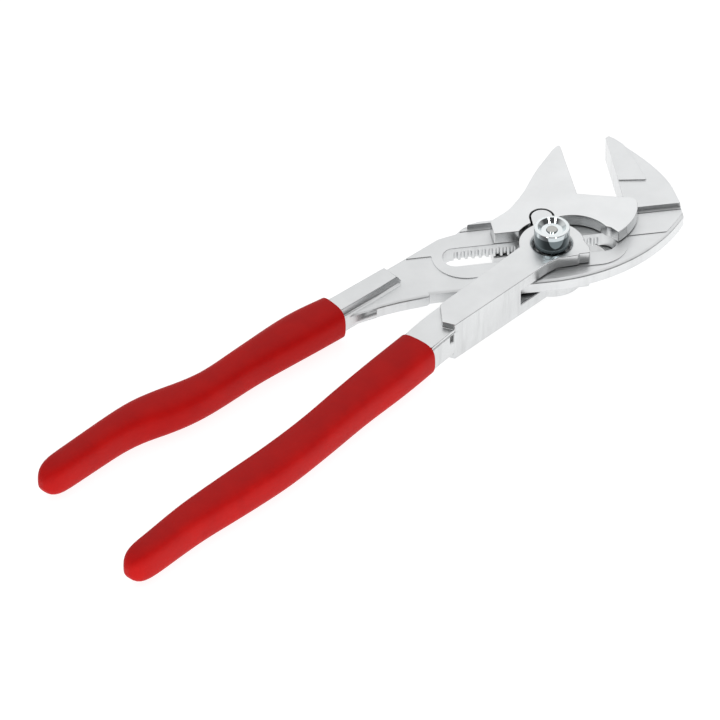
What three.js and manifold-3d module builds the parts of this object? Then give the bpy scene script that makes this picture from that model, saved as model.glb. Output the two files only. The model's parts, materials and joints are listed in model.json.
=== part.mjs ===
// Pliers wrench of the 250 mm class, lying flat with its push button up. Sizes are in millimetres.
// X runs along the slot towards the fixed jaw, Y towards the jaw tips, Z up from the resting plane.
// Plan positions are given from the pivot axis; the finished group is centred on its footprint.
import * as THREE from "three";
import { mergeVertices } from "three/addons/utils/BufferGeometryUtils.js";
import Module from "manifold-3d";

const wasm = await Module();
wasm.setup();

// Thickness of the layers, from the resting plane upwards
const cheek = 4.0; // side plate of the lever and of the sliding jaw
const runningGap = 0.3; // between faces that slide or turn on each other
const web = 5.0; // forged head between the plates
const padRise = 0.25; // milled pads above the forged surface, each side
const railRise = 1.4; // guide rail and fixed jaw above the head
const barThickness = 9.6; // handle bars of both limbs

// Head of the fixed limb
const headLower = -12.0; // lower edge, parallel to the slot
const headLeft = -40.8; // small step where the lower edge ends
const headRight = 43.6;
const headBackStart = -2; // where the lower edge starts to curve up
const headBackDrop = 4.4; // the curved back meets the jaw's side this far below the rail
const headNeck = [[9.8, 5.0], [20.2, 8.5, 25], [26.4, 9.8, 20]]; // lower edge, from the sleeve's underside
const headShoulder = [[-3.4, -3.3], [-6.9, -4.2], [-9.4, -4.9], [-27.0, -16.5]]; // from the rail's start
const headSwell = 0.9; // forged edge beyond the flat faces
const headSlope = 1.0; // height of the slope from each flat face out to that edge
const headSide = 0.3; // swell kept beside the fixed jaw
const railOuter = 17.3;
const railWidth = 1.2;
const railLeft = -23.6;
const railSlope = 4.3; // length of the sloped start of the rail
const reliefStand = 1.7; // from the rail's front to the far side of the relief groove
const reliefWidth = 0.5;
const reliefDepth = 0.35;
const millEdge = 4.6; // beyond this line the whole head is milled
const millMargin = 6.3; // milled pad beyond the slot's near edge
const millLeft = 3.4; // and beyond its two ends
const millRight = 3.9;

// Slot and rack
const slotLeft = -33.4;
const slotRight = 20.6;
const slotNear = -1.4;
const slotFar = 7.2;
const slotCorner = 3.9;
const toothPitch = 2.2;
const grooveDepth = 0.9;
const grooveMouth = 1.4; // width at the wall
const grooveRoot = 0.8;
const firstGroove = -13; // in pitches from the pivot
const grooveCount = 21;
const lip = 1.5; // smooth wall above the grooves
const toothPlay = 0.2; // each side of a tongue tooth, across the slot

// Fixed jaw
const fixedFace = 26.6; // gripping face
const fixedTip = 52.0;
const facetDepth = 0.4; // shallow milled facet at the tip, each side
const facetFoot = 29.6;
const facet = [[8.8, -1.0, 0.5], [6.8, 11.2, 8]]; // corners, from the gripping face and the facet's foot
const fixedBack = [[-1.4, -25.6], [-4.9, -16.5], [-9.4, -8.7], [-14.3, -1.4]]; // from head end and tip

// Sliding jaw
const slidingFace = 12.1; // gripping face
const slidingTip = 51.6;
const tipThickness = 7.2;
const taperStart = 24.0; // where the plates start to thin towards the tip
const jawBack = [[-2.7, -2.8, 2], [-9.9, -13.6, 50], [-16.7, -26.7, 30], [-22.0, -33.4, 14]]; // from the tip
const jawToe = [[1.5, -0.8], [3.3, -3.5]]; // from the end of the relief
const plateLeft = -16.8;
const plateBackDrop = 3.9; // below the rail's outer edge
const plateFoot = 7.0;
const plateRight = 29.8;
const shoulderLow = 0.9; // above the rail, at the plate's end
const shoulderHigh = 5.1; // above the rail, at the gripping face
const shoulderEnd = 3.4; // rounded end of the shoulder
const jawReliefRadius = 12.2; // clears the boss when the lever is open
const jawReliefShift = 6.8;
const jawReliefTurn = [100, 24]; // degrees, from its start to its end

// Lever
const bossRadius = 10.1;
const bossGap = 1.3; // to the sliding jaw's plates when the lever is closed
const lobeRadius = 3.4;
const lobeReach = 13.0;
const lobeAngle = 93;
const notchGap = 0.5;
const notchPlay = 1.2; // the lobe sinks this far in the notch as the lever opens
const armAngle = 217.35;
const armHalf = 6.0; // half width at the pivot
const armEnd = 48.0;
const armHalfEnd = 4.8;
const heelX = 10.9;
const heelY = -6.8;
const bossFlat = -7.9; // upper cheek cut straight beside the heel
const heelCut = [[-8, -7.2], [-3.2, -1.9], [0.4, 0], [30, 2.4], [30, -22]]; // from that straight
const forkRoot = 15.0;
const forkTilt = 7.5;

// Pivot
const upperBore = 6.8;
const boltHead = 8.2;
const tongueHalf = 3.5;
const neckRadius = 3.4;
const postRadius = 2.9;
const rivetRadius = 1.65;
const pressTravel = 3.1;
const buttonRadius = 5.5;
const buttonHeight = 6.3; // above the upper cheek
const buttonWall = 0.6;
const buttonChamfer = 0.5;
const buttonRoof = 1.0;
const dishRadius = 4.4;
const dishFoot = 3.3; // radius of the dish's floor
const dishDepth = 1.4;
const rivetDrop = 0.3; // riveted end below the button's rim
const rivetRound = 0.3;
const washerThickness = 0.5;
const springWire = 0.8;
const springTurns = 4;
const springRadius = 4.2; // to the middle of the wire

// Handles: where each bar starts, its length and direction, and rows of the share of the length, the
// bend to the left of the straight line and the bar's width
const fixedStart = [-49.6, -2.8];
const fixedLength = 142.4;
const fixedAngle = 212.55;
const fixedRows = [
  [-0, 0, 9.2], [0.087, 0.14, 9.6], [0.178, 0.17, 9.8], [0.253, -0.45, 11], [0.309, -0.48, 10.6],
  [0.424, 0.06, 8.6], [0.537, 1.1, 8.2], [0.594, 0.57, 9.4], [0.653, -0.93, 10.2], [0.709, -2.49, 9.2],
  [0.767, -2.77, 7.6], [0.88, -1.53, 6.8], [1, 0, 6.2],
];
const leverStart = [-31.0, -22.6];
const leverLength = 155.3;
const leverAngle = 219.99;
const leverRows = [
  [-0, 0, 11.6], [0.1, 0.09, 11.6], [0.149, 0.54, 11.4], [0.236, 1.01, 11.6], [0.352, 1.39, 10.6],
  [0.467, 2.32, 10.2], [0.583, 2.48, 10.6], [0.7, 1.31, 10], [0.816, 0.05, 8.4], [0.932, 0.21, 6.8],
  [1, -0, 6.2],
];
const fixedMouth = 25.4; // bare bar from the first row to the sleeve
const leverMouth = 23.2;
const fixedFlank = [1.65, 2.5]; // concave flank of the bar: inwards and downwards
const leverFlank = [0.5, 1.0];
const barRamp = 1.6; // slope from the fixed bar down to the head
const sleeveWall = 0.9;
const sleeveGap = 0.3;
const endLength = 6.5; // rounded end of a handle

// Paths of the bars: points hold X, Y and the width
const fixedBar = barPath(fixedStart, fixedLength, fixedAngle, fixedRows);
const leverBar = barPath(leverStart, leverLength, leverAngle, leverRows);

// Levels that follow from the layers
const lowerCheekTop = cheek;
const webLow = lowerCheekTop + runningGap;
const webHigh = webLow + web;
const upperCheekLow = webHigh + runningGap;
const top = upperCheekLow + cheek;
const middle = top / 2;
const railLow = webLow - railRise;
const railHigh = webHigh + railRise;
const barLow = middle - barThickness / 2;
const barHigh = middle + barThickness / 2;
const forgedLow = webLow + padRise;
const forgedHigh = webHigh - padRise;
const slotMiddle = (slotNear + slotFar) / 2;
const railFront = railOuter - railWidth;
const shoulder = railOuter + shoulderLow;
const jawFoot = railOuter + shoulderHigh;
const past = 5; // cutting bodies run this far beyond what they cut
const wide = 80; // cutting bodies that take a whole side

const steel = new THREE.MeshStandardMaterial({ color: 0xb9bab8, roughness: 0.35, metalness: 0.9 });
const brightSteel = new THREE.MeshStandardMaterial({ color: 0x9aa0a2, roughness: 0.15, metalness: 1.0 });
const springSteel = new THREE.MeshStandardMaterial({ color: 0x6f7274, roughness: 0.3, metalness: 1.0 });
const redVinyl = new THREE.MeshStandardMaterial({ color: 0xa81818, roughness: 0.45, metalness: 0.0 });

// A closed geometry as a solid that can be joined and cut.
function solid(geometry) {
  geometry.deleteAttribute("normal");
  geometry.deleteAttribute("uv");
  const merged = mergeVertices(geometry, 1e-4);
  const vertProperties = merged.attributes.position.array;
  const triVerts = new Uint32Array(merged.index.array);
  return new wasm.Manifold(new wasm.Mesh({ numProp: 3, vertProperties, triVerts }));
}

function piece(name, body, material) {
  const { vertProperties, triVerts } = body.getMesh();
  const geometry = new THREE.BufferGeometry();
  geometry.setAttribute("position", new THREE.BufferAttribute(vertProperties, 3));
  geometry.setIndex(new THREE.BufferAttribute(triVerts, 1));
  geometry.computeVertexNormals();
  const mesh = new THREE.Mesh(geometry, material);
  mesh.name = name;
  return mesh;
}

// A closed outline, anticlockwise, from corners [x, y, radius]; the radius rounds the corner by an arc.
function outline(corners) {
  const shape = new THREE.Shape();
  corners.forEach(([x, y, radius = 0], i) => {
    if (!radius) {
      if (i) shape.lineTo(x, y);
      else shape.moveTo(x, y);
      return;
    }
    const corner = new THREE.Vector2(x, y);
    const [beforeX, beforeY] = corners.at(i - 1);
    const [afterX, afterY] = corners[(i + 1) % corners.length];
    const back = new THREE.Vector2(beforeX, beforeY).sub(corner).normalize();
    const on = new THREE.Vector2(afterX, afterY).sub(corner).normalize();
    const half = Math.acos(back.dot(on)) / 2;
    const centre = back.clone().add(on).normalize().multiplyScalar(radius / Math.sin(half)).add(corner);
    const reach = radius / Math.tan(half);
    const start = back.multiplyScalar(reach).add(corner).sub(centre).angle();
    const turn = on.clone().cross(corner.clone().sub(new THREE.Vector2(beforeX, beforeY)));
    const end = on.multiplyScalar(reach).add(corner).sub(centre).angle();
    const first = [centre.x + radius * Math.cos(start), centre.y + radius * Math.sin(start)];
    if (i) shape.lineTo(...first);
    else shape.moveTo(...first);
    shape.absarc(centre.x, centre.y, radius, start, end, turn > 0);
  });
  return shape;
}

// A flat solid between two levels; a swell widens its edge between two slopes, as on a forging.
function slab(shape, low, high, swell = 0, slope = 0) {
  const geometry = new THREE.ExtrudeGeometry(shape, {
    depth: high - low - 2 * slope,
    bevelEnabled: swell > 0,
    bevelThickness: slope,
    bevelSize: swell,
    bevelSegments: 1,
    curveSegments: 10,
  });
  return solid(geometry.translate(0, 0, low + slope));
}

function block(x0, x1, y0, y1, low, high) {
  const geometry = new THREE.BoxGeometry(x1 - x0, y1 - y0, high - low);
  return solid(geometry.translate((x0 + x1) / 2, (y0 + y1) / 2, (low + high) / 2));
}

function disc(x, y, radius, low, high, sides = 44) {
  const geometry = new THREE.CylinderGeometry(radius, radius, high - low, sides);
  return solid(geometry.rotateX(Math.PI / 2).translate(x, y, (low + high) / 2));
}

// A turned solid on the pivot axis, from a profile of [radius, z] going up the outside.
function turned(profile) {
  const points = profile.map(([radius, z]) => new THREE.Vector2(radius, z));
  return solid(new THREE.LatheGeometry(points, 44).rotateX(Math.PI / 2));
}

function ring(inner, outer, low, high) {
  return turned([[inner, low], [outer, low], [outer, high], [inner, high], [inner, low]]);
}

// A closed solid through rings of [x, y, z] points; flat holds the section in its own plane for the caps.
function loft(rings, flat) {
  const count = flat.length;
  const last = (rings.length - 1) * count;
  const index = [];
  for (let ring = 0; ring + 1 < rings.length; ring++) {
    for (let i = 0; i < count; i++) {
      const a = ring * count + i;
      const b = ring * count + ((i + 1) % count);
      index.push(a, b, b + count, a, b + count, a + count);
    }
  }
  for (const [a, b, c] of THREE.ShapeUtils.triangulateShape(flat, [])) {
    index.push(a, c, b, last + a, last + b, last + c);
  }
  const geometry = new THREE.BufferGeometry();
  geometry.setAttribute("position", new THREE.Float32BufferAttribute(rings.flat(2), 3));
  geometry.setIndex(index);
  return solid(geometry);
}

// The same cut on the upper and the lower face of a limb.
function bothFaces(shape, low, high) {
  return slab(shape, high, top + past).add(slab(shape, -past, low));
}

function barPath([startX, startY], length, degrees, rows) {
  const angle = THREE.MathUtils.degToRad(degrees);
  const points = rows.map(([share, bend, width]) => {
    const x = startX + share * length * Math.cos(angle) - bend * Math.sin(angle);
    const y = startY + share * length * Math.sin(angle) + bend * Math.cos(angle);
    return new THREE.Vector3(x, y, width);
  });
  return new THREE.CatmullRomCurve3(points);
}

// Section of a bare bar: flat top and bottom, concave flanks down to upright sides.
function barSection(width, thickness, [inwards, downwards]) {
  const quarter = [0, 30, 60, 90].map((degrees) => {
    const angle = THREE.MathUtils.degToRad(degrees);
    const across = width / 2 - inwards * Math.cos(angle);
    return new THREE.Vector2(across, thickness / 2 - downwards * Math.sin(angle));
  });
  const upperLeft = quarter.map(({ x, y }) => new THREE.Vector2(-x, y));
  const lowerRight = quarter.map(({ x, y }) => new THREE.Vector2(x, -y));
  const lowerLeft = quarter.map(({ x, y }) => new THREE.Vector2(-x, -y));
  return [...quarter.reverse(), ...upperLeft, ...lowerLeft.reverse(), ...lowerRight];
}

// Section of a sleeve: a squarish oval.
function ovalSection(width, thickness) {
  const power = 2 / 3.2;
  return Array.from({ length: 24 }, (_, i) => {
    const angle = ((i + 0.5) / 24) * 2 * Math.PI;
    const across = Math.sign(Math.cos(angle)) * Math.abs(Math.cos(angle)) ** power;
    const up = Math.sign(Math.sin(angle)) * Math.abs(Math.sin(angle)) ** power;
    return new THREE.Vector2((across * width) / 2, (up * thickness) / 2);
  });
}

// A handle body along the path of a bar, between two distances from its start. The section is drawn
// for the bar's width and thickness plus a margin all round. It rises from the head and may end rounded.
function handle(path, from, to, margin, section, steps, rounded) {
  const start = from + barRamp;
  const rounding = rounded ? endLength : 0;
  const bodyLength = to - rounding - start;
  const body = Array.from({ length: steps }, (_, i) => start + (bodyLength * i) / steps);
  const turns = rounded ? [0, 30, 50, 65, 78] : [0];
  const end = turns.map((degrees) => to - rounding * (1 - Math.sin(THREE.MathUtils.degToRad(degrees))));
  let flat;
  const rings = [from, ...body, ...end].map((distance) => {
    const along = Math.min(1, distance / path.getLength());
    const { x, y, z: width } = path.getPointAt(along);
    const tangent = path.getTangentAt(along).setZ(0).normalize();
    const nearEnd = rounded ? Math.max(0, 1 - (to - distance) / rounding) : 0;
    const shrink = Math.sqrt(1 - nearEnd ** 2);
    const rise = THREE.MathUtils.lerp(web / barThickness, 1, Math.min(1, distance / barRamp));
    const drawn = section(width + 2 * margin, barThickness + 2 * margin);
    flat ??= drawn;
    return drawn.map((point) => {
      const across = point.x * shrink;
      return [x - tangent.y * across, y + tangent.x * across, middle + point.y * shrink * rise];
    });
  });
  return loft(rings, flat);
}

// The sleeve is a closed-ended cup over the bar.
function sleeve(path, mouth) {
  const end = path.getLength();
  const outer = handle(path, mouth, end, sleeveGap + sleeveWall, ovalSection, 22, true);
  const inner = handle(path, mouth - past, end - sleeveWall, sleeveGap, ovalSection, 22, true);
  return outer.subtract(inner);
}

// The bar is bare up to the sleeve and oval inside it.
function tang(path, mouth, flank) {
  const end = path.getLength() - sleeveWall - sleeveGap;
  const seat = mouth - sleeveGap;
  const section = (width, thickness) => barSection(width, thickness, flank);
  const bare = handle(path, 0, seat, 0, section, 5, false);
  return bare.add(handle(path, seat - sleeveGap, end, 0, ovalSection, 20, true));
}

// Head and jaw of the fixed limb
function headShape() {
  const reach = headRight - headBackStart;
  const rise = railOuter - headBackDrop - headLower;
  const backRadius = (reach ** 2 + rise ** 2) / (2 * rise);
  const backEnd = Math.asin(reach / backRadius) - Math.PI / 2;
  const { x: barX, y: barY } = fixedBar.points[1];
  const [underX, underY] = [headLeft - 35.6, 2 * headLower];
  const neck = headNeck.map(([x, y, radius]) => [underX + x, underY + y, radius]);
  const shape = outline([
    [barX - 2, barY], ...neck, [headLeft - 0.6, headLower - 1, 0.4], [headLeft, headLower, 0.4],
    [headBackStart, headLower],
  ]);
  shape.absarc(headBackStart, headLower + backRadius, backRadius, -Math.PI / 2, backEnd, false);
  shape.lineTo(headRight, railOuter);
  shape.lineTo(railLeft, railOuter);
  headShoulder.forEach(([x, y]) => shape.lineTo(railLeft + x, railOuter + y));
  return shape;
}

function fixedJawShape() {
  const shape = new THREE.Shape();
  shape.moveTo(railLeft, railFront);
  shape.lineTo(headRight, railFront);
  shape.splineThru(fixedBack.map(([x, y]) => new THREE.Vector2(headRight + x, fixedTip + y)));
  shape.lineTo(fixedFace + 1.2, fixedTip);
  shape.lineTo(fixedFace, fixedTip - 0.8);
  shape.lineTo(fixedFace, railOuter);
  shape.lineTo(railLeft + railSlope, railOuter);
  return shape;
}

function slotBody() {
  const shape = outline([
    [slotLeft, slotNear, slotCorner], [slotRight, slotNear, slotCorner],
    [slotRight, slotFar, slotCorner], [slotLeft, slotFar, slotCorner],
  ]);
  return slab(shape, -past, top + past);
}

// Rack grooves in the slot's far wall: arched at the top, open below and narrowing inwards.
function rackGrooves() {
  const half = grooveRoot / 2;
  const flare = grooveMouth / 2 - half;
  const springing = webHigh - lip - flare - half;
  const arch = new THREE.Shape();
  arch.moveTo(-half, 0);
  arch.lineTo(half, 0);
  arch.lineTo(half, springing);
  arch.absarc(0, springing, half, 0, Math.PI, false);
  const cutter = new THREE.ExtrudeGeometry(arch, {
    depth: grooveDepth,
    bevelThickness: grooveDepth,
    bevelSize: flare,
    bevelSegments: 1,
    curveSegments: 5,
  });
  cutter.rotateX(Math.PI / 2).translate(firstGroove * toothPitch, slotFar, 0);
  const grooves = Array.from({ length: grooveCount }, (_, i) => {
    return solid(cutter.clone().translate(i * toothPitch, 0, 0));
  });
  return grooves.reduce((a, b) => a.add(b));
}

// Milled pads that the plates run on: round the slot and all of the head beyond it.
function milledPads() {
  const radius = slotMiddle - slotNear + millMargin;
  const left = slotLeft - millLeft + radius;
  const right = slotRight + millRight - radius;
  const around = new THREE.Shape();
  around.moveTo(left, slotMiddle - radius);
  around.absarc(right, slotMiddle, radius, -Math.PI / 2, 0, false);
  around.lineTo(right + radius, railFront);
  around.lineTo(left - radius, railFront);
  around.absarc(left, slotMiddle, radius, Math.PI, 1.5 * Math.PI, false);
  const beyond = outline([
    [headLeft - past, millEdge], [headRight + past, millEdge],
    [headRight + past, railFront], [headLeft - past, railFront],
  ]);
  const pads = slab(around, webLow, webHigh).add(slab(beyond, webLow, webHigh));
  return pads.intersect(slab(headShape(), webLow, webHigh));
}

function reliefGrooves() {
  const near = railFront - reliefStand;
  const shape = outline([
    [railLeft - past, near], [headRight + past, near],
    [headRight + past, near + reliefWidth], [railLeft - past, near + reliefWidth],
  ]);
  return bothFaces(shape, webLow + reliefDepth, webHigh - reliefDepth);
}

function jawFacet() {
  const shape = outline([
    [fixedFace - past, facetFoot + 0.9],
    ...facet.map(([x, y, radius]) => [fixedFace + x, facetFoot + y, radius]),
    [fixedFace + 2.2, fixedTip + past], [fixedFace - past, fixedTip + past],
  ]);
  return bothFaces(shape, railLow + facetDepth, railHigh - facetDepth);
}

function fixedLimb() {
  const forging = slab(headShape(), forgedLow, forgedHigh, headSwell, headSlope);
  const trim = block(-wide, headRight + headSide, -wide, railOuter, 0, top);
  const head = forging.intersect(trim).add(milledPads()).subtract(reliefGrooves());
  const jaw = slab(fixedJawShape(), railLow, railHigh).subtract(jawFacet());
  const bar = tang(fixedBar, fixedMouth, fixedFlank);
  return head.add(jaw).add(bar).subtract(slotBody()).subtract(rackGrooves());
}

// Sliding jaw
function slidingJawShape() {
  const notchX = lobeReach * Math.cos(THREE.MathUtils.degToRad(lobeAngle));
  const notchY = lobeReach * Math.sin(THREE.MathUtils.degToRad(lobeAngle));
  const notch = lobeRadius + notchGap;
  const clear = bossRadius + bossGap;
  const left = Math.PI - Math.asin(plateFoot / clear);
  const notchLeft = Math.acos((notchX - notch) / clear);
  const shape = outline([
    [slidingFace, jawFoot], [slidingFace, slidingTip, 0.6],
    ...jawBack.map(([x, y, radius]) => [slidingFace + x, slidingTip + y, radius]),
    [plateLeft, railOuter - plateBackDrop, 1.2], [plateLeft, plateFoot, 0.5],
    [clear * Math.cos(left), plateFoot],
  ]);
  shape.absarc(0, 0, clear, left, notchLeft, true);
  shape.absarc(notchX, notchY, notch, Math.PI, 0, true);
  shape.lineTo(notchX + notch, notchY - notchPlay);
  const [start, end] = jawReliefTurn.map(THREE.MathUtils.degToRad);
  shape.absarc(jawReliefShift, 0, jawReliefRadius, start, end, true);
  const { x, y } = shape.currentPoint;
  jawToe.forEach(([across, up]) => shape.lineTo(x + across, y + up));
  shape.quadraticCurveTo(plateRight - 0.8, y + 2, plateRight, shoulder - shoulderEnd);
  shape.quadraticCurveTo(plateRight, shoulder, plateRight - shoulderEnd, shoulder);
  return shape;
}

function slidingJaw() {
  const body = slab(slidingJawShape(), 0, top);
  const seat = railOuter + runningGap;
  const channel = block(plateLeft - past, plateRight + past, -past, seat, lowerCheekTop, upperCheekLow);
  const railGroove = block(
    plateLeft - past, slidingFace, railFront - runningGap, seat, railLow - runningGap, railHigh + runningGap,
  );
  const jawGroove = block(
    slidingFace, plateRight + past, railFront - runningGap, jawFoot + past, railLow - runningGap,
    railHigh + runningGap,
  );
  const thinning = (top - tipThickness) / 2;
  const taper = new THREE.Shape();
  taper.moveTo(taperStart, 0);
  taper.lineTo(slidingTip, -thinning);
  taper.lineTo(slidingTip + past, -thinning);
  taper.lineTo(slidingTip + past, past);
  taper.lineTo(taperStart, past);
  const span = plateRight - plateLeft + 2 * past;
  const wedge = new THREE.ExtrudeGeometry(taper, { depth: span, bevelEnabled: false });
  wedge.rotateX(Math.PI / 2).rotateZ(Math.PI / 2);
  const upper = solid(wedge.clone().translate(plateLeft - past, 0, top));
  const lower = solid(wedge.rotateY(Math.PI).translate(plateRight + past, 0, 0));
  return body.subtract(channel).subtract(railGroove).subtract(jawGroove).subtract(upper).subtract(lower);
}

// Lever
function armShape() {
  return outline([
    [0, -armHalf], [armEnd - 2.6, -armHalfEnd], [armEnd + 3.2, 1.4, 0.6], [armEnd + 1.5, armHalfEnd + 0.6],
    [0, armHalf],
  ]);
}

function leverPlates() {
  const turn = new THREE.Matrix4().makeRotationZ(THREE.MathUtils.degToRad(armAngle));
  const lobeX = lobeReach * Math.cos(THREE.MathUtils.degToRad(lobeAngle));
  const lobeY = lobeReach * Math.sin(THREE.MathUtils.degToRad(lobeAngle));
  const arm = slab(armShape(), 0, top).transform(turn.elements);
  const neck = block(lobeX - lobeRadius, lobeX + lobeRadius, 0, lobeY, 0, top);
  const heelShape = outline([
    [0, 0], [0, heelY], [heelX, heelY, 0.6], [heelX + 0.1, -4, 2], [bossRadius - 0.3, 0],
  ]);
  const heel = slab(heelShape, 0, top);
  const plates = disc(0, 0, bossRadius, 0, top, 56)
    .add(disc(lobeX, lobeY, lobeRadius, 0, top, 32))
    .add(neck)
    .add(arm)
    .add(heel);
  const flat = outline(heelCut.map(([x, y]) => [x, bossFlat + y]));
  return plates.subtract(slab(flat, webLow, top + past));
}

function leverLimb() {
  const angle = THREE.MathUtils.degToRad(forkTilt);
  const fork = block(-wide, wide, -forkRoot, wide, lowerCheekTop, upperCheekLow);
  const turn = new THREE.Matrix4().makeRotationZ(angle);
  const railReach = railFront - 1.5 * runningGap;
  const low = railLow - runningGap;
  const high = railHigh + runningGap;
  const railSweep = ring(railReach, wide, low, high);
  const lobeSide = block(-wide, wide, 0, wide, low, high);
  return leverPlates()
    .subtract(fork.transform(turn.elements))
    .subtract(railSweep.intersect(lobeSide))
    .add(tang(leverBar, leverMouth, leverFlank))
    .subtract(disc(0, 0, upperBore, upperCheekLow - 1, top + past))
    .subtract(disc(0, 0, boltHead + runningGap, -past, lowerCheekTop + 1));
}

// Pivot bolt: head in the lower cheek, toothed tongue in the slot, neck and rivet end through the button.
const washerLow = upperCheekLow;
const washerHigh = washerLow + washerThickness;
const tongueTop = webLow + pressTravel - runningGap; // a press takes it below the head
const buttonTop = top + buttonHeight;
const buttonRim = washerHigh + runningGap + pressTravel;
const dishFloor = buttonTop - dishDepth;
const rivetTop = buttonTop - rivetDrop;
const roofUnder = dishFloor - buttonRoof;

function tongueShape() {
  const tip = slotFar + grooveDepth - runningGap;
  const valley = slotFar - runningGap;
  const side = slotNear + runningGap;
  const base = grooveMouth / 2 - toothPlay;
  const crest = grooveRoot / 2 - toothPlay;
  const teeth = [1, 0, -1].map((i) => i * toothPitch).flatMap((x) => [
    [x + base, valley], [x + crest, tip], [x - crest, tip], [x - base, valley],
  ]);
  const sides = [[-tongueHalf, valley], [-tongueHalf, side], [tongueHalf, side], [tongueHalf, valley]];
  return outline([...sides, ...teeth]);
}

function pivotBolt() {
  const head = disc(0, 0, boltHead, 0.2, lowerCheekTop);
  const tongue = slab(tongueShape(), lowerCheekTop - 1, tongueTop);
  const neckTop = webHigh + pressTravel + runningGap;
  const flat = block(-neckRadius, neckRadius, slotNear + runningGap, neckRadius, 0, top);
  const neck = disc(0, 0, neckRadius, tongueTop - 1, neckTop).intersect(flat);
  const core = -slotNear - 2 * runningGap;
  const post = turned([
    [0, neckTop - 1], [core, neckTop - 1], [core, neckTop],
    [postRadius, neckTop], [postRadius, roofUnder - runningGap],
    [rivetRadius, roofUnder - runningGap], [rivetRadius, rivetTop - rivetRound],
    [rivetRadius - rivetRound, rivetTop], [0, rivetTop],
  ]);
  return head.add(tongue).add(neck).add(post);
}

function pushButton() {
  const bore = rivetRadius + 0.1;
  const inside = buttonRadius - buttonWall;
  return turned([
    [bore, roofUnder], [inside, roofUnder], [inside, buttonRim], [buttonRadius, buttonRim],
    [buttonRadius, buttonTop - buttonChamfer], [buttonRadius - buttonChamfer, buttonTop],
    [dishRadius, buttonTop], [dishFoot, dishFloor], [bore, dishFloor], [bore, roofUnder],
  ]);
}

function springWasher() {
  const bore = neckRadius + runningGap;
  const rim = upperBore - runningGap;
  return ring(bore, rim, washerLow, washerHigh);
}

// One unbroken helix; the least gap between its curls is measured on its own points.
function buttonSpring() {
  const low = washerHigh + runningGap + springWire / 2;
  const high = roofUnder - runningGap - springWire / 2;
  const steps = springTurns * 8;
  const section = Array.from({ length: 5 }, (_, i) => {
    const angle = (i / 5) * 2 * Math.PI;
    return new THREE.Vector2((Math.cos(angle) * springWire) / 2, (Math.sin(angle) * springWire) / 2);
  });
  const rings = Array.from({ length: steps + 1 }, (_, i) => {
    const angle = -(i / 8) * 2 * Math.PI;
    const z = low + ((high - low) * i) / steps;
    return section.map(({ x, y }) => [
      (springRadius + x) * Math.cos(angle), (springRadius + x) * Math.sin(angle), z + y,
    ]);
  });
  let gap = Infinity;
  for (let i = 0; i + 8 <= steps; i++) {
    for (const a of rings[i]) {
      for (const b of rings[i + 8]) gap = Math.min(gap, Math.hypot(a[0] - b[0], a[1] - b[1], a[2] - b[2]));
    }
  }
  console.log(`button spring: least gap between curls ${gap.toFixed(2)} mm`);
  return loft(rings, section);
}

const tool = new THREE.Group();
tool.add(
  piece("fixed_limb", fixedLimb(), steel),
  piece("sliding_jaw", slidingJaw(), steel),
  piece("lever_limb", leverLimb(), steel),
  piece("pivot_bolt", pivotBolt(), brightSteel),
  piece("push_button", pushButton(), brightSteel),
  piece("spring_washer", springWasher(), springSteel),
  piece("button_spring", buttonSpring(), springSteel),
  piece("fixed_limb_sleeve", sleeve(fixedBar, fixedMouth), redVinyl),
  piece("lever_sleeve", sleeve(leverBar, leverMouth), redVinyl),
);

// The origin is the middle of the footprint, on the resting plane.
const footprint = new THREE.Box3().setFromObject(tool);
const centre = footprint.getCenter(new THREE.Vector3());
tool.position.set(-centre.x, -centre.y, -footprint.min.z);

const pliersWrench = new THREE.Group();
pliersWrench.add(tool);
export default pliersWrench;
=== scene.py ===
import json
import math

import bmesh
import bpy
from mathutils import Matrix, Vector
from mathutils.geometry import intersect_point_line


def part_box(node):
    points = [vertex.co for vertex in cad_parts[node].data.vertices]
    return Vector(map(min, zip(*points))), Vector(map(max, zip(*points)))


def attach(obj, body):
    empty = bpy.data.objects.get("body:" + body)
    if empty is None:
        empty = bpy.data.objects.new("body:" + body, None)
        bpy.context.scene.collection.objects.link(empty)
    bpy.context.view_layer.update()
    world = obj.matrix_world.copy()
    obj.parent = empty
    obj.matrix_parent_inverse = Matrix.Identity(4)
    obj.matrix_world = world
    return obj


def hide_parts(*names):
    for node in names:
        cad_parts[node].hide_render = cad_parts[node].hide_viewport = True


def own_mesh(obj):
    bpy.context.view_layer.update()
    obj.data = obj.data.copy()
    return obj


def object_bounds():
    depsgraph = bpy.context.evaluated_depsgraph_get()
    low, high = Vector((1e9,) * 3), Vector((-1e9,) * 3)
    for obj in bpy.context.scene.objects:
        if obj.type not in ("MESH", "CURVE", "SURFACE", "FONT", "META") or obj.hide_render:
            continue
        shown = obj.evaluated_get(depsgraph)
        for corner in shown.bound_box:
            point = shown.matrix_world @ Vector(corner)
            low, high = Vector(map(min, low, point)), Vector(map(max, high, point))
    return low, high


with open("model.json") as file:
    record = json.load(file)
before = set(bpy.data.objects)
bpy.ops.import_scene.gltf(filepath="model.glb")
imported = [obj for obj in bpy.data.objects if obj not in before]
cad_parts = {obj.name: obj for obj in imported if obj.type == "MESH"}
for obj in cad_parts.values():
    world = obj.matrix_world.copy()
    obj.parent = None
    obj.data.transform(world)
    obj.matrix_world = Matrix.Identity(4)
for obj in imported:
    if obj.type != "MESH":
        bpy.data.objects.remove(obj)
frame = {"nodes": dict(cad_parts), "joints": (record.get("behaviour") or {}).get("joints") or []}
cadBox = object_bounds()
scene = bpy.context.scene
mm = 0.001
weld = 0.002 * mm  # vertices closer than this become one
near = 0.01 * mm  # heights closer than this count as the same
up = Vector((0, 0, 1))
pivot = Vector(next(j["pos_m"] for j in frame["joints"] if j["name"] == "lever_hinge"))
midHeight = pivot.z
pivot.z = 0.0
noiseMean = 0.5  # the value that a noise lies round
print("frame loaded:", len(frame["nodes"]), "nodes")


# sockets and nodes

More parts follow.
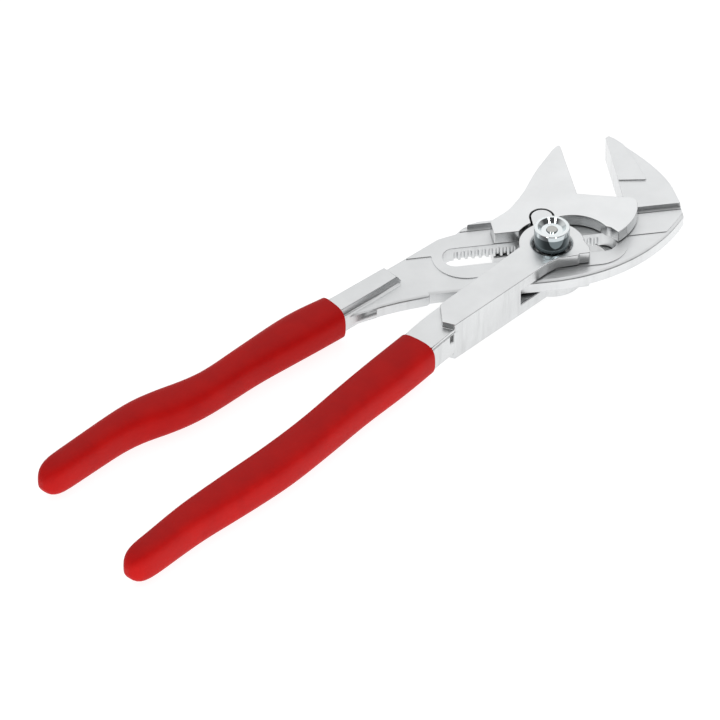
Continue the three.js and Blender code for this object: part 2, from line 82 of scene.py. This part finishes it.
class Wire:
    # a shader socket that takes part in sums
    def __init__(self, finish, socket):
        self.finish, self.socket = finish, socket

    def maths(self, operation, first, second):
        return self.finish.node("ShaderNodeMath", {"operation": operation}, {0: first, 1: second})

    def __add__(self, other):
        return self.maths("ADD", self, other)

    def __radd__(self, other):
        return self.maths("ADD", other, self)

    def __sub__(self, other):
        return self.maths("SUBTRACT", self, other)

    def __rsub__(self, other):
        return self.maths("SUBTRACT", other, self)

    def __mul__(self, other):
        return self.maths("MULTIPLY", self, other)

    def __rmul__(self, other):
        return self.maths("MULTIPLY", other, self)


class Finish:
    # a node tree that is filled through one method
    def __init__(self, owner):
        owner.use_nodes = True
        self.owner, self.tree = owner, owner.node_tree
        self.tree.nodes.clear()

    def node(self, kind, settings=None, inputs=None, output=0):
        made = self.tree.nodes.new(kind)
        for name, value in (settings or {}).items():
            setattr(made, name, value)
        for name, value in (inputs or {}).items():
            if isinstance(value, Wire):
                self.tree.links.new(value.socket, made.inputs[name])
            else:
                made.inputs[name].default_value = value
        return Wire(self, made.outputs[output]) if made.outputs else None

    def place(self):
        return self.node("ShaderNodeTexCoord", output="Object")

    def part(self, vector, axis):
        return self.node("ShaderNodeSeparateXYZ", {}, {0: vector}, axis)

    def upward(self):
        return self.part(self.node("ShaderNodeTexCoord", output="Normal"), "Z")

    def vector(self, operation, first, second=(0, 0, 0), output=0):
        return self.node("ShaderNodeVectorMath", {"operation": operation}, {0: first, 1: second}, output)

    def stretched(self, scale, turn=0.0):
        return self.node("ShaderNodeMapping", {}, {
            "Vector": self.place(), "Rotation": (0, 0, math.radians(turn)), "Scale": scale})

    def noise(self, vector, scale=1.0, detail=3.0, rough=0.55):
        return self.node("ShaderNodeTexNoise", {}, {
            "Vector": vector, "Scale": scale, "Detail": detail, "Roughness": rough})

    def between(self, value, low, high, start=0.0, end=1.0):
        return self.node("ShaderNodeMapRange", {"clamp": True}, {
            "Value": value, "From Min": low, "From Max": high, "To Min": start, "To Max": end})

    def softStep(self, value, edge, blur):
        return self.between(value, edge - blur, edge + blur)

    def cornerShade(self, distance, darkest, closed=0.15, clear=0.55):
        # painted shade: darker in corners and grooves, by how little open space an ambient occlusion probe
        # finds round the point
        openness = self.node("ShaderNodeAmbientOcclusion", {"samples": 8}, {"Distance": distance}, "AO")
        return self.between(openness, closed, clear, darkest, 1.0)

    def mixed(self, factor, first, second):
        return self.node("ShaderNodeMix", {"data_type": "RGBA"}, {0: factor, 6: first, 7: second}, 2)

    def colour(self, red, green, blue):
        return self.node("ShaderNodeCombineColor", {}, {0: red, 1: green, 2: blue})

    def bump(self, height, strength, distance):
        return self.node("ShaderNodeBump", {}, {
            "Strength": strength, "Distance": distance, "Height": height})

    def surface(self, **inputs):
        named = {name.replace("_", " "): value for name, value in inputs.items()}
        bsdf = self.node("ShaderNodeBsdfPrincipled", {}, named)
        self.node("ShaderNodeOutputMaterial", {}, {"Surface": bsdf})
        return self.owner


# finishes

def groundSteel(name, turn, tone, side, rough, darkest):
    # satin plated steel: ground lines on the flats, upright streaks and fine grain on the shinier walls,
    # with painted shade that darkens it towards the sleeves, on the walls, and in corners and grooves
    look = {"flatFrom": 0.80, "flatTo": 0.97, "wallRough": -0.14, "roughSpread": 0.08,
            "cloud": 90.0, "cloudFrom": 0.35, "cloudTo": 0.65, "cloudDepth": 0.05,
            "lines": (60, 4200, 400), "lineStrength": 0.22,
            "grain": 1500.0, "grainStrength": 0.30, "grainOnFlats": 0.2,
            "streaks": (420, 420, 50), "streakFrom": 0.48, "streakTo": 0.72, "streakDepth": 0.09,
            "sleeveShadeFrom": 20 * mm, "sleeveShadeTo": -60 * mm, "sleeveShade": 0.07,
            "cornerShade": 1.6 * mm, "tint": (0.986, 1.0, 1.008), "bump": 0.35, "bumpDepth": 0.03 * mm}
    steel = Finish(bpy.data.materials.new(name))
    flat = steel.between(steel.upward(), look["flatFrom"], look["flatTo"])
    cloud = steel.noise(steel.place(), look["cloud"], detail=4.0)
    lines = steel.noise(steel.stretched(look["lines"], turn), detail=2.0)
    grain = steel.noise(steel.place(), look["grain"], detail=2.0)
    height = (lines * flat * look["lineStrength"]
              + grain * look["grainStrength"] * (1 + look["grainOnFlats"] - flat))
    rough = (rough + look["wallRough"] * (1 - flat)
             + (cloud - noiseMean) * look["roughSpread"] + (lines - noiseMean) * flat * look["roughSpread"])
    along = steel.part(steel.place(), "X")
    # painted shade: the steel is darker towards the sleeves
    sleeveShade = steel.between(along, pivot.x + look["sleeveShadeFrom"], pivot.x + look["sleeveShadeTo"], 0.0, look["sleeveShade"])
    patches = steel.between(cloud, look["cloudFrom"], look["cloudTo"])
    bare = tone - sleeveShade + (patches - 1.0) * look["cloudDepth"]
    upright = steel.noise(steel.stretched(look["streaks"]))
    streaks = steel.between(upright, look["streakFrom"], look["streakTo"])
    # painted shade: faces that look sideways are darker than the flats, by the side factor
    wall = (1 - streaks * look["streakDepth"]) * side
    # painted shade: the last factor darkens corners and grooves
    level = bare * (wall + (1 - wall) * flat) * steel.cornerShade(look["cornerShade"], darkest)
    colour = steel.colour(*(level * share for share in look["tint"]))
    return steel.surface(Base_Color=colour, Metallic=1.0, Roughness=rough,
                         Normal=steel.bump(height, look["bump"], look["bumpDepth"]))


def brightPlating(name):
    # turned and plated: faint rings round the pivot, bright down to a band under the button's rim, a
    # near-black painted reflection on the flank below it, and bright again underneath
    look = {"colour": (0.84, 0.88, 0.89, 1), "band": (0.60, 0.65, 0.67, 1), "side": (0.16, 0.19, 0.20, 1),
            "rivet": (0.50, 0.50, 0.48, 1), "rivetEdge": 1.7 * mm, "rivetBlur": 0.05 * mm,
            "bandFoot": 1.75 * mm, "bandBlur": 0.1 * mm, "topFrom": 0.2, "topTo": 0.5,
            "underFrom": -0.6, "underTo": -0.8, "cloud": 420.0, "rough": 0.07, "roughSpread": 0.08,
            "ring": 5200.0, "bump": 0.04, "bumpDepth": 0.02 * mm}
    plated = Finish(bpy.data.materials.new(name))
    centred = plated.vector("SUBTRACT", plated.place(), (pivot.x, pivot.y, 0))
    radius = plated.vector("LENGTH", plated.vector("MULTIPLY", centred, (1, 1, 0)), output="Value")
    rings = plated.node("ShaderNodeMath", {"operation": "SINE"}, {0: radius * look["ring"]})
    cloud = plated.noise(plated.place(), look["cloud"])
    upward = plated.upward()
    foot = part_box("push_button")[1][2] - look["bandFoot"]
    outside = plated.softStep(radius, look["rivetEdge"], look["rivetBlur"])
    crown = plated.mixed(outside, look["rivet"], look["colour"])
    crownAndBand = plated.mixed(plated.between(upward, look["topFrom"], look["topTo"]), look["band"], crown)
    # painted reflection: below the band's foot the flank takes the near-black side colour, standing in for
    # dark surroundings
    above = plated.softStep(plated.part(plated.place(), "Z"), foot, look["bandBlur"])
    under = plated.between(upward, look["underFrom"], look["underTo"])
    colour = plated.mixed(above + under, look["side"], crownAndBand)
    rough = look["rough"] + (cloud - noiseMean) * look["roughSpread"]
    return plated.surface(Base_Color=colour, Metallic=1.0, Roughness=rough,
                          Normal=plated.bump(rings, look["bump"], look["bumpDepth"]))


def springSteel(name):
    # plain steel with a faint cloud of tarnish
    look = {"dark": (0.30, 0.31, 0.32, 1), "light": (0.48, 0.49, 0.50, 1), "cloud": 600.0,
            "rough": 0.24, "roughSpread": 0.16}
    wire = Finish(bpy.data.materials.new(name))
    cloud = wire.noise(wire.place(), look["cloud"])
    return wire.surface(Base_Color=wire.mixed(cloud, look["dark"], look["light"]), Metallic=1.0,
                        Roughness=look["rough"] + cloud * look["roughSpread"])


def dippedVinyl(name):
    # thick red dip coating: dull sheen, slow ripples and fine pores
    look = {"colour": (0.475, 0.008, 0.007, 1), "deep": (0.41, 0.006, 0.006, 1),
            "sheen": 0.08, "rough": 0.48,
            "ripple": 130.0, "rippleFrom": 0.3, "rippleTo": 0.7, "rippleHeight": 0.4, "rippleRough": 0.14,
            "pore": 2300.0, "poreHeight": 0.05, "poreRough": 0.06, "bump": 0.25, "bumpDepth": 0.4 * mm}
    vinyl = Finish(bpy.data.materials.new(name))
    ripple = vinyl.noise(vinyl.place(), look["ripple"])
    pore = vinyl.noise(vinyl.place(), look["pore"], detail=2.0)
    crests = vinyl.between(ripple, look["rippleFrom"], look["rippleTo"])
    rough = (look["rough"] + (ripple - noiseMean) * look["rippleRough"]
             + (pore - noiseMean) * look["poreRough"])
    height = ripple * look["rippleHeight"] + pore * look["poreHeight"]
    return vinyl.surface(Base_Color=vinyl.mixed(crests, look["deep"], look["colour"]), Metallic=0.0,
                         Roughness=rough, Specular_IOR_Level=look["sheen"],
                         Normal=vinyl.bump(height, look["bump"], look["bumpDepth"]))


# modelling helpers

def mergedCopy(node):
    # a welded copy of a solid
    shape = bmesh.new()
    shape.from_mesh(frame["nodes"][node].data)
    bmesh.ops.remove_doubles(shape, verts=shape.verts, dist=weld)
    return shape


def finishPiece(shape, name, material, body, node, sharp=30.0):
    # turns a shape into a piece that stands for a node
    mesh = bpy.data.meshes.new(name)
    for face in shape.faces:
        face.smooth = True
    for edge in shape.edges:
        edge.smooth = len(edge.link_faces) == 2 and edge.calc_face_angle(0.0) < math.radians(sharp)
    shape.to_mesh(mesh)
    shape.free()
    piece = bpy.data.objects.new(name, mesh)
    scene.collection.objects.link(piece)
    mesh.materials.append(material)
    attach(piece, body)
    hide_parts(node)
    return piece


def isSharp(edge, angle=28.0):
    return len(edge.link_faces) == 2 and edge.calc_face_angle(0.0) > math.radians(angle)


def fromPivot(v):
    return (v.co - pivot).xy.length


def edgeRoom(edge, acute=50.0, sideways=0.3, probes=(0.25, 0.5, 0.75)):
    # how far a rounding may reach into the two faces: none beside an acute corner, otherwise to the edges
    # that face this one and along those beside it
    room = math.inf
    for loop in edge.link_loops:
        before, after = loop.link_loop_prev, loop.link_loop_next
        for corner, neighbour in ((loop, before.edge), (after, after.edge)):
            if isSharp(neighbour) and corner.calc_angle() < math.radians(acute):
                return 0.0
        normal, start, end = loop.face.normal, loop.vert.co, after.vert.co
        inward = normal.cross(end - start).normalized()
        for other in loop.face.loops:
            first, last = other.vert.co, other.link_loop_next.vert.co
            facing = normal.cross(last - first).normalized().dot(inward)
            if facing < -sideways:
                for share in probes:
                    probe = start.lerp(end, share)
                    along = min(1.0, max(0.0, intersect_point_line(probe, first, last)[1]))
                    room = min(room, (first.lerp(last, along) - probe).length)
            elif facing < sideways and other in (before, after):
                room = min(room, (last - first).length)
    return room


def softEdges(shape, look, steep=65.0, share=0.4):
    # weighs each sharp edge by the room beside it, and by the length of any edge left sharp at its ends
    weights = shape.edges.layers.float.new("bevel_weight_edge")
    widest = max(look["edge"], look["slope"])
    rooms = {edge: edgeRoom(edge) for edge in shape.edges if isSharp(edge)}
    for edge, room in rooms.items():
        wanted = look["edge"] if edge.calc_face_angle(0.0) > math.radians(steep) else look["slope"]
        ends = [e.calc_length() for v in edge.verts for e in v.link_edges if rooms.get(e) == 0.0]
        reach = min(wanted, share * min([room, *ends]) / mm)
        edge[weights] = reach / widest if reach > look["least"] else 0.0
    return widest


def steelPiece(node, name, material, body, look, change=None, flatWithin=0.6):
    # a limb with its flat faces made whole, its own changes and rounded edges
    shape = mergedCopy(node)
    bmesh.ops.dissolve_limit(shape, angle_limit=math.radians(flatWithin), verts=shape.verts,
                             edges=shape.edges, delimit={"NORMAL"})
    if change:
        change(shape)
    widest = softEdges(shape, look)
    piece = finishPiece(shape, name, material, body, node)
    rounded = piece.modifiers.new("softEdges", "BEVEL")
    rounded.width = widest * mm
    rounded.segments = 3
    rounded.limit_method = "WEIGHT"
    rounded.use_clamp_overlap = False
    rounded.loop_slide = False
    rounded.harden_normals = True
    return piece


# steel limbs

def headForms(shape):
    # the head's rim slopes gently; the fixed jaw is thicker at its tip, down to a foot that shows as a line
    rim = {"foot": 1.25, "rise": 0.5}
    tip = {"foot": 28.5, "slack": 0.05, "level": 0.99, "rise": 0.85}
    for v in shape.verts:
        height = v.co.z - midHeight
        if abs(abs(height) - rim["foot"] * mm) < near:
            v.co.z += math.copysign(rim["rise"] * mm, height)
    tipFoot = pivot.y + (tip["foot"] - tip["slack"]) * mm
    lifted = 0
    for face in shape.faces:
        if abs(face.normal.z) > tip["level"] and min(v.co.y for v in face.verts) > tipFoot:
            lift = math.copysign(tip["rise"] * mm, face.normal.z)
            bmesh.ops.translate(shape, vec=(0, 0, lift), verts=face.verts)
            lifted += 1
    shape.normal_update()
    print("tip faces raised:", lifted)


def countersink(shape):
    # a lip with a chamfer closes the lever's bore in towards the button
    lip = {"bore": 6.8, "slack": 0.05, "reach": 4.2, "upright": 0.1, "inner": 5.8, "chamfer": 0.7,
           "depth": 3.0, "undercut": 3.3, "cut": 0.001}
    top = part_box("lever_limb")[1][2]

    def inBore(v):
        return (abs(fromPivot(v) - lip["bore"] * mm) < lip["slack"] * mm
                and v.co.z > top - lip["reach"] * mm)

    def isWall(face):
        return abs(face.normal.z) < lip["upright"] and all(inBore(v) for v in face.verts)

    for depth in (lip["chamfer"], lip["depth"], lip["undercut"]):
        wall = [f for f in shape.faces if isWall(f)]
        edges = dict.fromkeys(e for f in wall for e in f.edges)
        corners = dict.fromkeys(v for f in wall for v in f.verts)
        bmesh.ops.bisect_plane(shape, geom=[*wall, *edges, *corners], dist=lip["cut"] * mm,
                               plane_co=(0, 0, top - depth * mm), plane_no=up)
    for depth in (lip["chamfer"], lip["depth"]):
        for v in shape.verts:
            if inBore(v) and abs(v.co.z - (top - depth * mm)) < near:
                v.co.xy = pivot.xy + (v.co - pivot).xy * lip["inner"] / lip["bore"]
    shape.normal_update()


# side sets the painted shade on the walls; darkest sets the deepest painted shade in corners and grooves
headSteel = groundSteel("headSteel", turn=0, tone=0.86, side=0.95, rough=0.48, darkest=0.66)
jawSteel = groundSteel("jawSteel", turn=80, tone=0.88, side=0.80, rough=0.36, darkest=0.45)
leverSteel = groundSteel("leverSteel", turn=-37, tone=0.835, side=0.94, rough=0.36, darkest=0.80)
rounds = {"edge": 0.28, "slope": 0.28, "least": 0.1}
headRounds = {"edge": 0.22, "slope": 0.3, "least": 0.1}
limbs = bpy.data.collections.new("steelLimbs")
for piece in (steelPiece("fixed_limb", "headAndBar", headSteel, "fixed_limb", headRounds, headForms),
              steelPiece("sliding_jaw", "slidingJaw", jawSteel, "sliding_jaw", rounds),
              steelPiece("lever_limb", "forkedLever", leverSteel, "lever", rounds, countersink)):
    limbs.objects.link(piece)
print("steel limbs dressed")


# pivot

plating = brightPlating("brightPlating")
spring = springSteel("springSteel")
dish = {"radius": 4.4, "foot": 3.3, "depth": 1.4}
buttonLow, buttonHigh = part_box("push_button")
dishFloor = buttonHigh[2] - dish["depth"] * mm


def spunButton():
    # a turned cap with a round rim, a steep dish and a hole for the riveted bolt
    look = {"wall": 0.6, "roof": 1.0, "hole": 1.8, "steps": 72, "sharp": 40.0,
            "rim": 0.40, "rimSharp": 35.0, "rimReach": 0.1, "rimSegments": 5}
    radius, bottom, top = (buttonHigh[0] - buttonLow[0]) / 2, buttonLow[2], buttonHigh[2]
    bore, hole, roof = radius - look["wall"] * mm, look["hole"] * mm, dishFloor - look["roof"] * mm
    rows = ((radius, bottom), (radius, top), (dish["radius"] * mm, top), (dish["foot"] * mm, dishFloor),
            (hole, dishFloor), (hole, roof), (bore, roof), (bore, bottom))
    shape = bmesh.new()
    ring = [shape.verts.new((pivot.x + r, pivot.y, z)) for r, z in rows]
    sides = [shape.edges.new(pair) for pair in zip(ring, ring[1:] + ring[:1])]
    bmesh.ops.spin(shape, geom=ring + sides, cent=pivot, axis=up, angle=2 * math.pi, steps=look["steps"],
                   use_merge=True)
    bmesh.ops.remove_doubles(shape, verts=shape.verts, dist=weld)
    bmesh.ops.recalc_face_normals(shape, faces=shape.faces)

    def onRim(v):
        return v.co.z > top - near and fromPivot(v) > radius - look["rimReach"] * mm

    rim = [e for e in shape.edges if isSharp(e, look["rimSharp"]) and all(onRim(v) for v in e.verts)]
    bmesh.ops.bevel(shape, geom=rim, offset=look["rim"] * mm, offset_type="OFFSET", affect="EDGES",
                    segments=look["rimSegments"], profile=0.5, material=-1, clamp_overlap=True)
    return finishPiece(shape, "domedButton", plating, "bolt_and_button", "push_button",
                       look["sharp"])


def rivetedBolt():
    # the bolt's riveted end lies low in the button's dish, with a punch mark in the middle
    look = {"height": 0.45, "punchEdge": 0.65, "punch": 0.5, "middle": 0.05}
    shape = mergedCopy("pivot_bolt")
    bmesh.ops.scale(shape, vec=(1, 1, look["height"]), space=Matrix.Translation((0, 0, -dishFloor)),
                    verts=[v for v in shape.verts if v.co.z > dishFloor])
    peak = max(v.co.z for v in shape.verts)
    crown = [f for f in shape.faces if all(v.co.z > peak - near for v in f.verts)]
    bmesh.ops.inset_region(shape, faces=crown, thickness=look["punchEdge"] * mm, use_even_offset=True)
    for v in shape.verts:
        if v.co.z > peak - near and fromPivot(v) < look["middle"] * mm:
            v.co.z -= look["punch"] * mm
    return finishPiece(shape, "rivetedBolt", plating, "bolt_and_button", "pivot_bolt")


def woundSpring():
    # the spring under the button, on a mesh of its own
    low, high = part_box("button_spring")
    travel = next(max(j["range_m"]) for j in frame["joints"] if j["name"] == "button_press")
    piece = finishPiece(mergedCopy("button_spring"), "woundSpring", spring, "pivot_carriage",
                        "button_spring", sharp=60.0)
    1 - travel / (high[2] - low[2])
    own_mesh(piece)


turned = bpy.data.collections.new("turnedPieces")
for piece in (spunButton(), rivetedBolt()):
    turned.objects.link(piece)
woundSpring()
washer = frame["nodes"]["spring_washer"]
washer.data.materials.clear()
washer.data.materials.append(spring)
print("pivot dressed")


# sleeves

vinyl = dippedVinyl("dippedVinyl")


def dippedSleeve(node, name, body):
    # a smooth skin with a crisp mouth
    look = {"joinWithin": 40.0, "joinShape": 60.0, "mouth": 50.0, "crease": 0.85, "sharp": 60.0}
    shape = mergedCopy(node)
    bmesh.ops.join_triangles(shape, faces=shape.faces, angle_face_threshold=math.radians(look["joinWithin"]),
                             angle_shape_threshold=math.radians(look["joinShape"]))
    crease = shape.edges.layers.float.new("crease_edge")
    for edge in shape.edges:
        edge[crease] = look["crease"] if isSharp(edge, look["mouth"]) else 0.0
    piece = finishPiece(shape, name, vinyl, body, node, look["sharp"])
    smooth = piece.modifiers.new("smooth", "SUBSURF")
    smooth.levels = smooth.render_levels = 1


dippedSleeve("fixed_limb_sleeve", "fixedSleeve", "fixed_limb")
dippedSleeve("lever_sleeve", "leverSleeve", "lever")
print("sleeves dressed")


# camera

view = {"turn": 9.4737, "elevation": 40.0, "distance": 2.5, "right": 58.98 * mm, "away": 40.14 * mm,
        "lens": 409.8, "sensor": 36.0, "clipEnd": 10.0}
turn = math.radians(-view["turn"])
right = Vector((math.cos(turn), math.sin(turn), 0))
away = Vector((-math.sin(turn), math.cos(turn), 0))
target = pivot - right * view["right"] - away * view["away"]
rise = math.radians(view["elevation"])
lookDirection = away * math.cos(rise) - up * math.sin(rise)

camera = bpy.data.objects.new("camera", bpy.data.cameras.new("camera"))
scene.collection.objects.link(camera)
camera.data.lens, camera.data.sensor_width = view["lens"], view["sensor"]
camera.data.clip_end = view["clipEnd"]
camera.location = target - lookDirection * view["distance"]
camera.rotation_euler = lookDirection.to_track_quat("-Z", "Y").to_euler()
scene.camera = camera


# floor: white where it is seen or mirrored, and a plain bright sheet for the light that it throws back

sheet = {"size": 4.0, "drop": 0.02 * mm, "tone": 0.92, "glow": 0.60, "seenTone": 0.34, "seenGlow": 0.86}
floorMesh = bmesh.new()
bmesh.ops.create_grid(floorMesh, x_segments=2, y_segments=2, size=sheet["size"])
floorData = bpy.data.meshes.new("floor")
floorMesh.to_mesh(floorData)
floorMesh.free()
floor = bpy.data.objects.new("floor", floorData)
floor.location.z = cadBox[0][2] - sheet["drop"]
scene.collection.objects.link(floor)
paper = Finish(bpy.data.materials.new("whitePaper"))
seen = paper.node("ShaderNodeLightPath", output="Is Camera Ray")
for ray in ("Is Glossy Ray", "Is Transmission Ray"):
    seen = seen.maths("MAXIMUM", seen, paper.node("ShaderNodeLightPath", output=ray))
tone = paper.between(seen, 0, 1, sheet["tone"], sheet["seenTone"])
strength = paper.between(seen, 0, 1, sheet["glow"], sheet["seenGlow"])
diffuse = paper.node("ShaderNodeBsdfDiffuse", {}, {"Color": paper.colour(tone, tone, tone)})
glow = paper.node("ShaderNodeEmission", {}, {"Strength": strength})
both = paper.node("ShaderNodeAddShader", {}, {0: diffuse, 1: glow})
paper.node("ShaderNodeOutputMaterial", {}, {"Surface": both})
floorData.materials.append(paper.owner)


# surroundings: bright behind the tool and above it, dark behind the camera, dimmer at the horizon

sky = {"bright": 1.0, "dark": 0.07, "away": 0.8, "left": 0.12, "up": 0.6, "from": -0.05, "to": 0.60,
       "horizon": 0.6, "clearAt": 0.35}
scene.world = bpy.data.worlds.new("studio")
studio = Finish(scene.world)
direction = studio.node("ShaderNodeTexCoord", output="Generated")
brightSide = away * sky["away"] - right * sky["left"] + up * sky["up"]
farSide = studio.vector("DOT_PRODUCT", direction, brightSide, "Value")
room = (studio.between(farSide, sky["from"], sky["to"], sky["dark"], sky["bright"])
        * studio.between(studio.part(direction, "Z"), 0.0, sky["clearAt"], sky["horizon"], 1.0))
seenWhite = studio.node("ShaderNodeLightPath", output="Is Camera Ray")
backdrop = studio.node("ShaderNodeBackground", {}, {
    "Color": (1, 1, 1, 1), "Strength": room + seenWhite * (1 - room)})
studio.node("ShaderNodeOutputWorld", {}, {"Surface": backdrop})


# lamps in front: a low fill for the sleeves, two that sparkle on the turned pieces, and a soft one for the
# walls of the steel limbs

fill = {"back": 1.1, "right": 0.1, "up": 0.22, "size": 0.8, "power": 10.0}
glints = {"side": 29.0, "elevation": 36.0, "distance": 1.5, "width": 0.20, "height": 0.5, "power": 8.0}
front = {"side": 0.0, "elevation": 35.0, "distance": 1.5, "width": 1.5, "height": 1.5, "power": 0.4}


def areaLamp(name, offset, width, height, power):
    lamp = bpy.data.objects.new(name, bpy.data.lights.new(name, "AREA"))
    lamp.data.energy, lamp.data.shape = power, "RECTANGLE"
    lamp.data.size, lamp.data.size_y = width, height
    lamp.location = target + offset
    lamp.rotation_euler = (-offset).to_track_quat("-Z", "Y").to_euler()
    scene.collection.objects.link(lamp)
    return lamp


fillOffset = right * fill["right"] - away * fill["back"] + up * fill["up"]
areaLamp("fill", fillOffset, fill["size"], fill["size"], fill["power"]).visible_glossy = False
for name, look, side, pieces in (("leftGlint", glints, -1, turned), ("rightGlint", glints, 1, turned),
                                 ("front", front, 1, limbs)):
    swing, lift = math.radians(look["side"]) * side, math.radians(look["elevation"])
    level = right * math.sin(swing) - away * math.cos(swing)
    heading = level * math.cos(lift) + up * math.sin(lift)
    lamp = areaLamp(name, heading * look["distance"], look["width"], look["height"], look["power"])
    lamp.light_linking.receiver_collection = pieces

scene.view_settings.view_transform = "Standard"
print("stage set")
